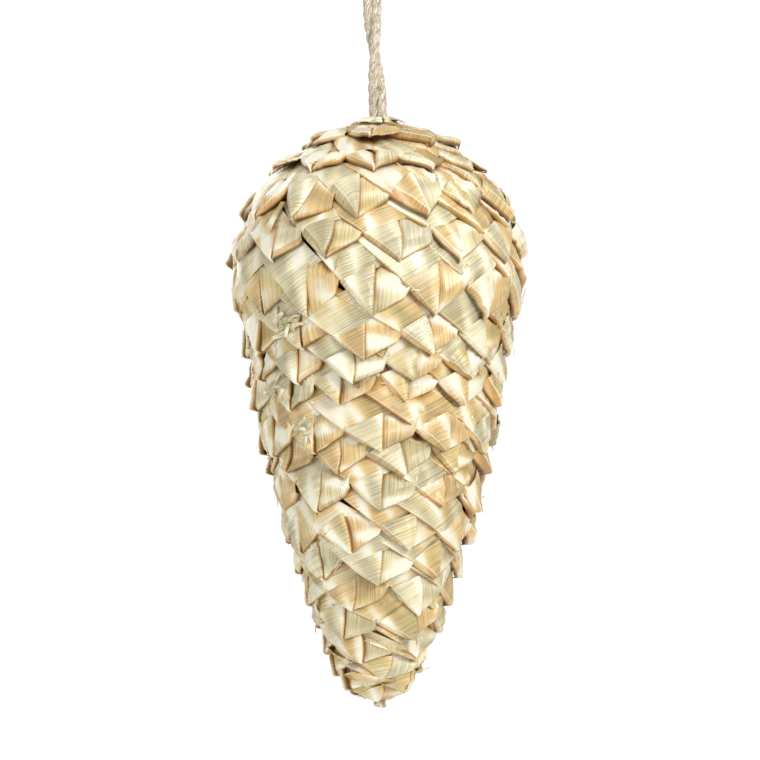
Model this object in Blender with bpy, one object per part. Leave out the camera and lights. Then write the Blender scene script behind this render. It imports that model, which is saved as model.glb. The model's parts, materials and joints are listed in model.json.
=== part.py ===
"""Pine cone ornament of plaited straw, hung from a loop of jute twine.

Metres, +Z up. The origin is where a hook bears inside the hanging loop, and the cone hangs below
it, tip down, with its front facing -Y. The cone is a stack of overlapping courses of saw-tooth
plait. A tooth is a folded straw triangle that stands proud, with a flat facet on its right.
"""

import math
import random

import bmesh
import bpy
from mathutils import Vector

# Outline of the cone, over the tips of its teeth
CONE_HEIGHT = 0.200
CONE_WIDTH = 0.1035
WIDEST_SHARE = 0.25
SHOULDER_SHARE = 0.05
TIP_FULLNESS = 0.55
TIP_RADIUS = 0.003

# The plait
TOOTH_PITCH = 0.0225
TOOTH_DEPTH = 0.0076
FACET_DEPTH = 0.0048
PLAIT_THICKNESS = 0.0017
FOLD_RELIEF = 0.0010
PLAIT_TUCK = 0.0018
DEEPEST_NOTCH = 0.75
FEWEST_TEETH = 3
FULL_PLAIT_RADIUS = 0.021
THINNEST_SHARE = 0.25

# Each course as it was laid: how deep its tips hang, as a share of the cone's height, and the
# heading of one tip in degrees, from the front towards the right
COURSES = (
    (0.036, -9), (0.083, -4), (0.167, 18), (0.243, 7), (0.338, -2),
    (0.401, -6), (0.451, 17), (0.491, 14), (0.566, 34), (0.603, 12),
    (0.665, 2), (0.732, 20), (0.785, 0), (0.832, -17), (0.883, 28),
    (0.921, -20), (0.954, 9), (0.978, 60), (1.0, 0),
)

# The lower edge of one tooth, left to right: where it lies, as a share of the tooth's pitch, how
# high above the tip, as a share of that side's depth, and how proud, as a share of the relief
FOLD_EDGE = ((-0.50, 1.0, 0.6), (-0.26, 0.46, 1.0), (-0.02, 0.0, 1.0))
FACET_EDGE = ((0.02, 0.08, 0.0), (0.24, 0.5, 0.2), (0.46, 1.0, 0.0))

# How unevenly the teeth were folded by hand
DEPTH_JITTER = 0.0007
LIFT_JITTER = 0.0005
JITTER_SEED = 7

# The hanging cord: two legs of one twine, twisted about each other, then a loop
CORD_DIAMETER = 0.0031
TWIST_LENGTH = 0.0327
TWIST_START = 0.18
TWISTED_HEIGHT = TWIST_LENGTH * (1 + TWIST_START)
STRAIGHT_HEIGHT = 0.0070
LOOP_HEIGHT = 0.0360
CORD_POINT_SPACING = 0.0068

# One side of the loop: half its width, in half cord spacings, at shares of its height
LOOP_SHAPE = ((1.0, 0.0), (2.0, 0.22), (3.9, 0.46), (5.2, 0.68), (4.0, 0.90))

CLEARANCE = 0.0003

# The boss of gathered strip ends around the cord
BOSS_RIM = 0.0020
BOSS_HEIGHT = 0.0010
BOSS_TAPER = 0.8
BOSS_RADIUS = CORD_DIAMETER + CLEARANCE / 2 + BOSS_RIM

# How finely the model is worked out; the widest facet and the steepest lean are in degrees
OUTLINE_STEPS = 160
CURVE_STEPS = 24
STEPS_PER_HALF_TWIST = 8
WIDEST_FACET = 13.0
STEEPEST_LEAN = 70


def course_name(index):
    return f"plait_course_{index + 1:02d}"


def material(name, colour, roughness):
    """A plain matt or silky finish, its colour in linear red, green and blue."""
    made = bpy.data.materials.new(name)
    made.use_nodes = True
    shader = made.node_tree.nodes["Principled BSDF"]
    shader.inputs["Base Color"].default_value = (*colour, 1.0)
    shader.inputs["Roughness"].default_value = roughness
    shader.inputs["Metallic"].default_value = 0.0
    return made


def outline():
    """The cone's outline from crown to tip, as (radius, depth) pairs: a dome, then one curve."""
    half = CONE_WIDTH / 2
    widest = CONE_HEIGHT * WIDEST_SHARE
    below = CONE_HEIGHT - widest
    points = []
    for step in range(OUTLINE_STEPS):
        angle = math.pi / 2 * step / OUTLINE_STEPS
        points.append((half * math.sin(angle), widest * (1 - math.cos(angle))))
    for step in range(OUTLINE_STEPS + 1):
        t = step / OUTLINE_STEPS
        start, near, far, end = (1 - t) ** 3, 3 * (1 - t) ** 2 * t, 3 * (1 - t) * t * t, t ** 3
        radius = half * (start + near + far * TIP_FULLNESS) + TIP_RADIUS * end
        points.append((radius, widest + below * (near * SHOULDER_SHARE + far + end)))
    return points


class Meridian:
    """The outline measured along its length, from the middle of the crown."""

    def __init__(self):
        self.points = [Vector((radius, -depth)) for radius, depth in outline()]
        self.lengths = [0.0]
        for one, two in zip(self.points, self.points[1:]):
            self.lengths.append(self.lengths[-1] + (two - one).length)

    def length_at_depth(self, depth):
        for index, point in enumerate(self.points[1:], 1):
            if -point.y >= depth - 1e-9:
                before = self.points[index - 1]
                share = (depth + before.y) / (before.y - point.y)
                return self.lengths[index - 1] + share * (point - before).length
        return self.lengths[-1]

    def place(self, length, outward):
        """The point at a length down the outline, moved outward from it by a distance."""
        length = min(max(length, 0.0), self.lengths[-1])
        index = next(i for i, at in enumerate(self.lengths[1:], 1) if at >= length - 1e-9)
        one, two = self.points[index - 1], self.points[index]
        along = (two - one).normalized()
        spot = one + along * (length - self.lengths[index - 1])
        return spot + Vector((-along.y, along.x)) * outward


class Course:
    """One ring of plait: the straight flank from its hidden top to the tips of its teeth."""

    def __init__(self, index, meridian):
        share, heading = COURSES[index]
        self.index = index
        self.heading = math.radians(heading)
        at = meridian.length_at_depth(CONE_HEIGHT * share)
        radius = meridian.place(at, 0.0).x
        self.teeth = max(FEWEST_TEETH, round(2 * math.pi * radius / TOOTH_PITCH))
        self.fullness = min(1.0, max(radius / FULL_PLAIT_RADIUS, THINNEST_SHARE))
        self.relief = FOLD_RELIEF * self.fullness
        self.tip = meridian.place(at, -self.relief)
        self.top = Vector((BOSS_RADIUS, 0.0))

    def lay_under(self, above):
        """Runs the flank back from the tips, leaning in until it lies clear under the last one."""
        tuck = (TOOTH_DEPTH + PLAIT_TUCK) * self.fullness
        needed = (PLAIT_THICKNESS + FOLD_RELIEF) * self.fullness + CLEARANCE
        back = above.tip - self.tip
        last_top, _, last_out = above.flank()
        for step in range(1, STEEPEST_LEAN):
            cos, sin = math.cos(math.radians(step)), math.sin(math.radians(step))
            along = Vector((back.x * cos - back.y * sin, back.x * sin + back.y * cos)).normalized()
            self.top = self.tip + along * (back.length * cos + tuck)
            if min(back.length * sin, (last_top - self.top).dot(last_out)) >= needed:
                break

    def flank(self):
        """The top of the flank, the way down it and the way out of it."""
        along = (self.tip - self.top).normalized()
        return self.top, along, Vector((-along.y, along.x))


def lay_courses():
    """The courses in order, each tucked under the one above it."""
    meridian = Meridian()
    courses = [Course(index, meridian) for index in range(len(COURSES))]
    for above, course in zip(courses, courses[1:]):
        course.lay_under(above)
    return courses


def tooth_columns(course, shown, rng):
    """The lower edge of a course, as (heading, rise above the tips, lift off the flank)."""
    pitch = 2 * math.pi / course.teeth
    depth = min(TOOTH_DEPTH, DEEPEST_NOTCH * shown) * course.fullness
    facet = depth * FACET_DEPTH / TOOTH_DEPTH
    corners = []
    for tooth in range(course.teeth):
        sag = rng.uniform(0, DEPTH_JITTER) * course.fullness
        lift = rng.uniform(0, LIFT_JITTER) * course.fullness
        for edge, height in ((FOLD_EDGE, depth - sag), (FACET_EDGE, facet)):
            for share, rise, proud in edge:
                heading = course.heading + (tooth + share) * pitch
                corners.append(Vector((heading, sag + rise * height, proud * (course.relief - lift))))
    full_turn = Vector((2 * math.pi, 0.0, 0.0))
    columns = []
    for here, after in zip(corners, corners[1:] + [corners[0] + full_turn]):
        pieces = math.ceil((after.x - here.x) / math.radians(WIDEST_FACET))
        columns += [here.lerp(after, piece / pieces) for piece in range(pieces)]
    return columns


def around(heading, spot, crown):
    """A point of the outline's plane turned to a heading: 0 is the front, -Y."""
    return Vector((spot.x * math.sin(heading), -spot.x * math.cos(heading), crown + spot.y))


def ring(mesh, headings, spots, crown):
    return [mesh.verts.new(around(h, s, crown)) for h, s in zip(headings, spots)]


def bridge(mesh, upper, lower):
    """Quads between two rings with as many points each."""
    count = len(upper)
    for here in range(count):
        after = (here + 1) % count
        mesh.faces.new((upper[here], lower[here], lower[after], upper[after]))


def fan(mesh, pole, points):
    """Triangles between a ring and a point on the axis."""
    for here, after in zip(points, points[1:] + points[:1]):
        mesh.faces.new((pole, here, after))


def course_mesh(course, above, below, crown, rng):
    """One closed solid: crown or hidden top, toothed flank, rolled edge and the inside."""
    mesh = bmesh.new()
    shown = (course.tip - above.tip).length if above else course.tip.length
    columns = tooth_columns(course, shown, rng)
    headings = [column[0] for column in columns]
    top, down, out = course.flank()
    run = (course.tip - top).length
    edge = [top + down * (run - rise) + out * proud for _, rise, proud in columns]

    level = [[top] * len(columns), edge]
    if above is None:
        boss = Vector((BOSS_RADIUS * BOSS_TAPER, BOSS_HEIGHT))
        level.insert(0, [boss] * len(columns))
    floor = min(spot.y for spot in edge)
    if below:
        below_top, below_down, below_out = below.flank()
        lift = below_out * (below.relief + CLEARANCE)
        runs = [(spot - below_top).dot(below_down) for spot in edge]
        climb = max(0.0, (CLEARANCE - lift.y) / -below_down.y)
        inside_top = below_top + lift - below_down * climb
        level.append([below_top + below_down * at + lift for at in runs])
        level.append([inside_top] * len(columns))
        floor = inside_top.y

    rings = [ring(mesh, headings, spots, crown) for spots in level]
    fan(mesh, mesh.verts.new((0.0, 0.0, crown + level[0][0].y)), rings[0])
    for upper, lower in zip(rings, rings[1:]):
        bridge(mesh, upper, lower)
    fan(mesh, mesh.verts.new((0.0, 0.0, crown + floor)), rings[-1][::-1])
    bmesh.ops.recalc_face_normals(mesh, faces=mesh.faces)
    return mesh


def build_courses(crown):
    """Every course of plait, each its own object, from the crown down to the tip."""
    rng = random.Random(JITTER_SEED)
    courses = lay_courses()
    straw = material("bleached palm-leaf plait", (0.72, 0.60, 0.38), 0.42)
    for above, course, below in zip([None] + courses, courses, courses[1:] + [None]):
        mesh = course_mesh(course, above, below, crown, rng)
        name = course_name(course.index)
        data = bpy.data.meshes.new(name)
        mesh.to_mesh(data)
        mesh.free()
        data.materials.append(straw)
        bpy.context.collection.objects.link(bpy.data.objects.new(name, data))


def smooth_curve(points, spacing):
    """Points a set distance apart along a smooth curve through the route's own points."""
    ends = [points[0] * 2 - points[1]] + points + [points[-1] * 2 - points[-2]]
    fine = []
    for a, b, c, d in zip(ends, ends[1:], ends[2:], ends[3:]):
        for step in range(CURVE_STEPS):
            t = step / CURVE_STEPS
            fine.append(0.5 * (2 * b + (c - a) * t + (2 * a - 5 * b + 4 * c - d) * t * t
                               + (3 * b - a - 3 * c + d) * t ** 3))
    fine.append(points[-1])
    length = sum((two - one).length for one, two in zip(fine, fine[1:]))
    count = max(2, round(length / spacing))
    picked = [fine[0]]
    walked = 0.0
    for one, two in zip(fine, fine[1:]):
        walked += (two - one).length
        if walked >= length * len(picked) / count and len(picked) < count:
            picked.append(two)
    return picked + [fine[-1]]


def cord_route(crown):
    """One leg up from the crown, over the loop and down the other leg."""
    apart = (CORD_DIAMETER + CLEARANCE) / 2
    foot = crown + BOSS_HEIGHT + CLEARANCE
    steps = round(TWISTED_HEIGHT / TWIST_LENGTH * STEPS_PER_HALF_TWIST)
    leg = []
    for step in range(steps + 1):
        height = TWISTED_HEIGHT * step / steps
        turn = math.pi * (height / TWIST_LENGTH - TWIST_START)
        leg.append(Vector((apart * math.cos(turn), apart * math.sin(turn), foot + height)))
    loop_foot = foot + TWISTED_HEIGHT + STRAIGHT_HEIGHT
    for widths, share in LOOP_SHAPE:
        leg.append(Vector((-apart * widths, 0.0, loop_foot + LOOP_HEIGHT * share)))
    apex = Vector((0.0, 0.0, loop_foot + LOOP_HEIGHT))
    other = [Vector((-spot.x, -spot.y, spot.z)) for spot in reversed(leg)]
    return leg + [apex] + other


def build_cord(crown):
    """The twine, as a round tube along its route."""
    spots = smooth_curve(cord_route(crown), CORD_POINT_SPACING)
    curve = bpy.data.curves.new("hanging_cord", "CURVE")
    curve.dimensions = "3D"
    curve.bevel_depth = CORD_DIAMETER / 2
    curve.bevel_resolution = 2
    curve.use_fill_caps = True
    spline = curve.splines.new("POLY")
    spline.points.add(len(spots) - 1)
    for point, spot in zip(spline.points, spots):
        point.co = (*spot, 1.0)
    curve.materials.append(material("jute twine", (0.42, 0.32, 0.20), 0.9))
    bpy.context.collection.objects.link(bpy.data.objects.new("hanging_cord", curve))


def main():
    for old in list(bpy.data.objects):
        bpy.data.objects.remove(old)
    cord_above_crown = BOSS_HEIGHT + CLEARANCE + TWISTED_HEIGHT + STRAIGHT_HEIGHT + LOOP_HEIGHT
    crown = CORD_DIAMETER / 2 - cord_above_crown
    build_courses(crown)
    build_cord(crown)


main()
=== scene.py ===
"""Pine cone ornament of plaited straw: the strips, the twine and the studio around them.

Metres, +Z up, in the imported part's own frame: the origin is where a hook bears inside the hanging
loop, and the cone hangs below it, tip down, front facing -Y. Lengths inside one tooth of plait are
in millimetres, because a maker reads them so.
"""

import json
import random
from math import cos, degrees, exp, pi, radians, sin, sqrt

import bmesh
import bpy
from bpy.props import FloatProperty, FloatVectorProperty, IntProperty, PointerProperty
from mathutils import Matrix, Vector, noise

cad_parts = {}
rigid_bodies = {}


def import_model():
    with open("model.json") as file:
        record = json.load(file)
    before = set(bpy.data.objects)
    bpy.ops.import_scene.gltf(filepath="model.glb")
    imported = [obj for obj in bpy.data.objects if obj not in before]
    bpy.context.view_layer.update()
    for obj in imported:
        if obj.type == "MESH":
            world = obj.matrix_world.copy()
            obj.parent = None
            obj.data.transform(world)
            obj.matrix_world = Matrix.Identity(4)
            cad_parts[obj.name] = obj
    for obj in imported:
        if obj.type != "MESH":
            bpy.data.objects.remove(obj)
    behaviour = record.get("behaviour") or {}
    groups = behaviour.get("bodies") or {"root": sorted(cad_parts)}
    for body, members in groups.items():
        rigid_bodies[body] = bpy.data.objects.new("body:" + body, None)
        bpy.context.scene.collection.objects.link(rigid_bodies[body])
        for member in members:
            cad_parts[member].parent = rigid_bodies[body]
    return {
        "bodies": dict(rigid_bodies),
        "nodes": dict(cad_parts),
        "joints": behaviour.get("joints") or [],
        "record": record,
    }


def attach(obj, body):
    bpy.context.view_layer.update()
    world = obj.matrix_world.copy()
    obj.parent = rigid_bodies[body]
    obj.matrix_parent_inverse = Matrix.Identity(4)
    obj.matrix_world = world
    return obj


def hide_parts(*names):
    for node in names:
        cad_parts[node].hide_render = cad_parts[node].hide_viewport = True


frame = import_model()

bl_info = {
    "name": "Straw Pine Cone Ornament",
    "version": (1, 0, 0),
    "blender": (4, 5, 0),
    "location": "View3D > Sidebar > Ornament",
    "description": "Dresses a hanging pine cone in saw-tooth straw plait and hangs it from jute twine",
    "category": "Object",
}

MM = 0.001

# Outline of the cone over the tips of its teeth, and its courses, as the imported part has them
CONE_HEIGHT = 0.200
CONE_WIDTH = 0.1035
WIDEST_SHARE = 0.25
SHOULDER_SHARE = 0.05
TIP_FULLNESS = 0.55
TIP_RADIUS = 0.003
TOOTH_PITCH = 0.0225
TOOTH_DEPTH = 0.0076
PLAIT_THICKNESS = 0.0017
FOLD_RELIEF = 0.0010
PLAIT_TUCK = 0.0018
FEWEST_TEETH = 3
FULL_PLAIT_RADIUS = 0.021
THINNEST_SHARE = 0.25
CLEARANCE = 0.0003
SEAT_DEPTH = 0.0029
# Each course: how far down the cone its tips lie, as a share, and its heading in degrees
COURSES = (
    (0.036, -9), (0.083, -4), (0.167, 18), (0.243, 7), (0.338, -2),
    (0.401, -6), (0.451, 17), (0.491, 14), (0.566, 34), (0.603, 12),
    (0.665, 2), (0.732, 20), (0.785, 0), (0.832, -17), (0.883, 28),
    (0.921, -20), (0.954, 9), (0.978, 60), (1.0, 0),
)
# Torn leaf: the index of its course and its heading; all but the last show in the photo
TORN_PLACES = ((5, -27), (7, -44), (8, -27), (12, 150))
OUTLINE_STEPS = 160
STEEPEST_LEAN = 70
EVEN_SPACING = 0.0152

# How a flank bulges: the crown's own rises, as distances up it and off it, and the steps in which
# every other flank is laid against the course above
CROWN_RISES = ((0.008, 0.0006), (0.016, -0.0003), (0.024, -0.0020))
RISE_STEP = 0.003
RISE_STEPS = 31

# The least height and relief of a small tooth, as shares of a full one
SHORTEST_TOOTH = 0.72
FLATTEST_TOOTH = 0.6

# Loose ends: ribbons in a torn place, ends about the twine's foot, ends under the tip, and how
# often a tooth has the end of a spare strip over it
TORN_RIBBONS = 9
COLLAR_ENDS = 11
TUFT_ENDS = 14
SPARE_END_CHANCE = 0.09

# The hidden layer behind a course: its height over the tips and how far in its two edges lie
BACKING_HEM = 0.0095
BACKING_INSETS = (0.0016, 0.0018)

# Corners nearer than this are one
PLAIT_WELD = 0.000001
TWINE_WELD = 0.0000001

# The cord's route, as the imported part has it
CORD_DIAMETER = 0.0031
TWIST_LENGTH = 0.0327
TWIST_START = 0.18
TWISTED_HEIGHT = TWIST_LENGTH * (1 + TWIST_START)
STRAIGHT_HEIGHT = 0.0070
LOOP_HEIGHT = 0.0360
LOOP_SHAPE = ((1.0, 0.0), (2.0, 0.22), (3.9, 0.46), (5.2, 0.68), (4.0, 0.90))
STEPS_PER_HALF_TWIST = 8
BOW = 0.0020
BOSS_HEIGHT = 0.0010
BOSS_RADIUS = CORD_DIAMETER + CLEARANCE / 2 + 0.0020
CROWN = CORD_DIAMETER / 2 - (BOSS_HEIGHT + CLEARANCE + TWISTED_HEIGHT + STRAIGHT_HEIGHT
                             + LOOP_HEIGHT)

# The twine's mesh: how close its two legs lie, as a share of touching, the steps of its curve, the
# spacing and corners of its rings, how full its plies are and how far out its hairs start
LEG_CLOSENESS = 0.96
CURVE_STEPS = 24
RING_SPACING = 0.00045
RING_CORNERS = 30
PLY_FULLNESS = 1.13
HAIR_ROOT = 0.72

# The studio: the middle of the photo, the floor's size and how far it lies under the tip, its
# glow, which lifts it to the white around it, and the surround's light on things and as seen
LOOKED_AT = Vector((0.0007, 0.0, CROWN - 0.0888))
SENSOR_WIDTH = 36.0
FLOOR_RADIUS = 0.90
FLOOR_DROP = 0.42
FLOOR_GLOW = 0.36
SURROUND_LIGHT = 0.41
SURROUND_SEEN = 1.05

# One tooth, in millimetres from its tip: x to the right, y up the flank. The folded triangle on
# top runs from its left corner to the tip and up to its apex
LEFT_CORNER = (-11.3, 7.8)
APEX = (0.0, 13.2)
FACET_CORNER = (10.6, 5.0)
# The two edges under which the facet ends, by height over the tip and slope, and the band's reach
FACET_TOP = ((13.2, 0.466), (15.5, -0.69))
BAND_REACH = 17.0
FIBRE_ANGLE = radians(25)
FOLD_SLOPE = radians(-34.6)

# Rolled edges, from under the fold to the flat of the strip: how far in from the edge, how far
# off the flank, and how much painted shade it gets (tan on the fold's side, brown under it);
# below 0 is a painted pale highlight along the ridge
SOFT_ROLL = ((1.0, -2.0, 1.0), (-0.1, -1.5, 1.0), (0.0, -1.0, 0.75), (0.12, -0.62, 0.5),
             (1.0, 0.2, 0.5), (1.82, 0.96, 0.45), (1.98, 1.1, -0.45), (2.3, 1.15, 0.0))
SIDE_ROLL = ((1.1, 1.13, 0.0), (0.45, 1.08, -0.1), (0.15, 0.85, 0.3), (0.0, 0.45, 0.75),
             (-0.05, -0.3, 1.0), (0.5, -1.1, 1.0))
HEM_ROLL = ((1.0, -2.1, 1.0), (-0.1, -1.7, 1.0), (0.0, -1.15, 0.75), (0.1, -0.75, 0.5),
            (1.0, -0.08, 0.4), (1.14, 0.06, -0.35), (1.5, 0.12, 0.0))
BAND_ROLL = ((0.9, -2.2, 1.0), (-0.1, -1.3, 0.8), (0.0, 0.0, 0.6), (0.2, 0.42, 0.3),
             (0.55, 0.66, -0.3), (0.9, 0.7, 0.0))

# Distances off the flank: the flat of the triangle, how much lower its right side lies, where the
# rolls of the triangle and of the hem begin, and how far the last course's tips draw in
FLAT_LEVEL = 1.15
RIGHT_DROP = 0.55
FOLD_FOOT = -0.62
HEM_FOOT = -0.75
LAST_PINCH = 3.2

# How far a covered strip is darkened towards the painted shade brown of a gap
GAP_SHADE = 0.85


def linear(code):
    """A hex sRGB colour as linear red, green, blue and alpha."""
    parts = [int(code[at:at + 2], 16) / 255 for at in (0, 2, 4)]
    return (*[p / 12.92 if p <= 0.04045 else ((p + 0.055) / 1.055) ** 2.4 for p in parts], 1.0)


def distance(name, description, default, least, most):
    return FloatProperty(name=name, description=description, default=default, min=least,
                         max=most, unit="LENGTH", precision=5)


def colour(name, description, code):
    return FloatVectorProperty(name=name, description=description, subtype="COLOR", size=4,
                               min=0.0, max=1.0, default=linear(code))


class PlaitSettings(bpy.types.PropertyGroup):
    strip_thickness: distance("Strip thickness", "Thickness of one palm-leaf strip",
                              0.00035, 0.0001, 0.001)
    unevenness: distance("Unevenness", "How far a corner of a tooth strays from its even place",
                         0.0011, 0.0, 0.002)
    seed: IntProperty(
        name="Seed", description="Picks another set of uneven folds and strip colours",
        default=11, min=0)
    ivory: colour("Ivory strip", "The palest, best bleached strips", "EEE3B9")
    straw: colour("Straw strip", "The commonest strips", "E8D08D")
    tan: colour("Tan strip", "Strips that the bleach hardly reached", "EAC98A")
    grey: colour("Grey strip", "Weathered strips, faintly green", "DACD9D")
    # Painted shade with warm bounce light, laid on the side of a fold
    fold: colour("Fold side", "The warm tan of a fold seen from its side", "EBC896")
    crack: colour("Crack", "Reddish tan of a split between two ribs", "C4935A")
    # Painted highlight: the pale ridge of a fold and the white of the sheen bands
    worn: colour("Worn ridge", "Nearly white, where a fold is polished", "FBF8E3")
    # Painted shade deep between folds, under the hems and on the hidden backing
    gap: colour("Gap", "Reddish brown of the unbleached leaf deep between folds", "6A4426")


class TwineSettings(bpy.types.PropertyGroup):
    diameter: distance("Diameter", "Diameter of the jute twine", CORD_DIAMETER, 0.001, 0.006)
    lay_length: distance("Lay", "Length in which its three plies make one turn",
                         0.0125, 0.004, 0.03)
    fuzz_count: IntProperty(
        name="Fuzz", description="Loose fibres standing off the twine", default=700, min=0)
    jute: colour("Jute", "Raw jute fibre", "D3C5A8")
    pale: colour("Pale fibre", "The lightest fibres in it", "F1E9D8")
    fleck: colour("Fleck", "Brown flecks of bark", "7A6142")


class StageSettings(bpy.types.PropertyGroup):
    camera_distance: distance("Camera distance", "From the cone's axis to the camera",
                              0.95, 0.3, 3.0)
    frame_width: distance("Framed width", "Width of the picture at the cone's axis",
                          0.2616, 0.1, 1.0)
    key_power: FloatProperty(
        name="Key light", description="Power of the soft light at the upper right",
        default=4.9, min=0.0, unit="POWER")
    fill_power: FloatProperty(
        name="Fill light", description="Power of the weak lights at the left and above",
        default=2.2, min=0.0, unit="POWER")
    floor: colour("Floor", "Pale matt floor", "F4F3F0")


def add_node(tree, kind, links=None, stops=None, **settings):
    """Adds a node; links fills its inputs with values or with other nodes' outputs."""
    node = tree.nodes.new("ShaderNode" + kind)
    for name, value in settings.items():
        setattr(node, name, value)
    for name, value in (links or {}).items():
        if isinstance(value, bpy.types.NodeSocket):
            tree.links.new(value, node.inputs[name])
        else:
            node.inputs[name].default_value = value
    if stops:
        ramp = node.color_ramp
        while len(ramp.elements) < len(stops):
            ramp.elements.new(0.5)
        for element, (at, shade) in zip(ramp.elements, stops):
            element.position, element.color = at, shade
    return node


def new_material(name):
    made = bpy.data.materials.new(name)
    made.use_nodes = True
    made.node_tree.nodes.clear()
    return made, made.node_tree


def lay_over(tree, base, layers):
    """Lays each layer over a colour: what drives it, between which values, how strong it is at
    either end, the colour that it brings and how. One without a colour lightens or darkens."""
    for driver, (low, high), (first, last), shade, blend in layers:
        share = add_node(tree, "MapRange", {
            "Value": driver, "From Min": low, "From Max": high, "To Min": first, "To Max": last,
        }).outputs[0]
        links = {0: 1.0, 6: base, 7: share} if shade is None else {0: share, 6: base, 7: shade}
        base = add_node(tree, "Mix", links, data_type="RGBA", blend_type=blend).outputs[2]
    return base


def straw_material(settings):
    """Bleached palm leaf, split into strips and folded dry. It is silky along the fibre, and fine ribs
    run its whole length. Its white flashes are partly real gloss and partly painted sheen: bands of
    painted highlight and shade across each strip."""
    made, tree = new_material("bleached palm-leaf strip")
    uv = add_node(tree, "UVMap", uv_map="fibre").outputs["UV"]
    tint = add_node(tree, "Attribute", attribute_name="tint").outputs["Fac"]
    side = add_node(tree, "Attribute", attribute_name="side").outputs["Fac"]

    # In cycles a metre along and across the leaf: ribs about 0.4 mm apart that run 45 mm,
    # broader streaks of 2 mm, soft patches, and splits of 11 mm between two ribs
    grain = []
    for scale, detail, roughness in (((22, 2300, 1), 1.0, 0.8), ((45, 520, 1), 3.0, 0.5),
                                     ((150, 70, 1), 2.0, 0.5), ((90, 1700, 1), 1.0, 0.5)):
        drawn = add_node(tree, "Mapping", {"Vector": uv, "Scale": scale}).outputs[0]
        grain.append(add_node(tree, "TexNoise", {
            "Vector": drawn, "Scale": 1.0, "Detail": detail, "Roughness": roughness,
        }).outputs["Fac"])
    ribs, streaks, patches, cracks = grain

    # Each strip has its own place between grey, ivory, straw and tan, and drifts about it
    drift = add_node(tree, "Math", {0: patches, 1: 0.7, 2: tint},
                     operation="MULTIPLY_ADD").outputs[0]
    base = add_node(tree, "ValToRGB", {"Fac": drift}, stops=(
        (0.26, settings.grey), (0.44, settings.ivory), (0.70, settings.ivory),
        (0.86, settings.straw), (1.0, settings.tan))).outputs["Color"]

    # Painted sheen: bands across the fibre, 6 mm apart, run from painted dull shade to a painted
    # white highlight, with combed edges
    combed = add_node(tree, "VectorMath", {0: ribs, 1: (0.0028, 0.0, 0.0), 2: uv},
                      operation="MULTIPLY_ADD").outputs[0]
    drawn = add_node(tree, "Mapping", {"Vector": combed, "Scale": (165, 45, 1)})
    painted_sheen = add_node(tree, "TexNoise", {
        "Vector": drawn.outputs[0], "Scale": 1.0, "Detail": 0.0}).outputs["Fac"]

    # Ribs, streaks and splits, then the painted sheen. The side mark paints shade and light on
    # folds: warm tan shade on the fold's side, a pale painted highlight along a ridge and dark brown
    # shade where they turn under
    base = lay_over(tree, base, (
        (ribs, (0.34, 0.56), (0.66, 1.04), None, "MULTIPLY"),
        (streaks, (0.3, 0.7), (0.96, 1.02), None, "MULTIPLY"),
        (cracks, (0.655, 0.73), (0.0, 0.75), settings.crack, "MIX"),
        # painted sheen: dull bands darkened as shade, bright bands mixed to a painted white highlight
        (painted_sheen, (0.32, 0.50), (0.71, 1.0), None, "MULTIPLY"),
        (painted_sheen, (0.52, 0.64), (0.0, 0.9), settings.worn, "MIX"),
        # side mark: painted fold-side shade, painted ridge highlight, painted gap shade
        (side, (0.0, 0.5), (0.0, 1.0), settings.fold, "MULTIPLY"),
        (side, (-0.5, 0.0), (0.8, 0.0), settings.worn, "MIX"),
        (side, (0.55, 1.0), (0.0, 0.86), settings.gap, "MIX")))

    rough = add_node(tree, "MapRange", {
        "Value": streaks, "From Min": 0.3, "From Max": 0.7, "To Min": 0.26, "To Max": 0.40,
    }).outputs[0]
    height = add_node(tree, "Math", {0: streaks, 1: 0.6, 2: ribs},
                      operation="MULTIPLY_ADD").outputs[0]
    bump = add_node(tree, "Bump", {
        "Height": height, "Strength": 0.7, "Distance": 0.00018}).outputs[0]
    along = add_node(tree, "Tangent", direction_type="UV_MAP", uv_map="fibre").outputs[0]
    shader = add_node(tree, "BsdfPrincipled", {
        "Base Color": base, "Roughness": rough, "Normal": bump, "Tangent": along,
        "Anisotropic": 0.5, "Anisotropic Rotation": 0.25, "Specular IOR Level": 0.75,
        "IOR": 1.5, "Sheen Weight": 0.08, "Sheen Roughness": 0.35,
    })
    add_node(tree, "OutputMaterial", {"Surface": shader.outputs[0]})
    return made


def jute_material(settings):
    """Raw jute, spun in three plies. It is dull and dry, greyish beige, with pale fibres along
    each ply and brown flecks of bark."""
    made, tree = new_material("raw jute twine")
    uv = add_node(tree, "UVMap", uv_map="fibre").outputs["UV"]
    # Fibres lie at a slant across each ply, 0.25 mm apart and about 4 mm long
    slant = add_node(tree, "Mapping", {"Vector": uv, "Rotation": (0, 0, 0.45)})
    grain = []
    for vector, scale, detail in ((slant.outputs[0], (260, 4200, 1), 3.0),
                                  (uv, (130, 600, 1), 3.0),
                                  (slant.outputs[0], (1100, 2600, 1), 2.0)):
        drawn = add_node(tree, "Mapping", {"Vector": vector, "Scale": scale})
        grain.append(add_node(tree, "TexNoise", {
            "Vector": drawn.outputs[0], "Scale": 1.0, "Detail": detail, "Roughness": 0.6,
        }).outputs["Fac"])
    fibres, clumps, flecks = grain
    base = add_node(tree, "ValToRGB", {"Fac": fibres}, stops=(
        (0.33, settings.fleck), (0.45, settings.jute), (0.57, settings.pale))).outputs["Color"]
    base = lay_over(tree, base, (
        (clumps, (0.3, 0.7), (0.76, 1.16), None, "MULTIPLY"),
        (flecks, (0.54, 0.62), (0.0, 0.75), settings.fleck, "MIX")))
    bump = add_node(tree, "Bump", {
        "Height": fibres, "Strength": 0.9, "Distance": 0.00025}).outputs[0]
    shader = add_node(tree, "BsdfPrincipled", {
        "Base Color": base, "Roughness": 0.9, "Normal": bump, "Specular IOR Level": 0.25,
        "Sheen Weight": 0.2, "Sheen Roughness": 0.6,
    })
    add_node(tree, "OutputMaterial", {"Surface": shader.outputs[0]})
    return made


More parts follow.
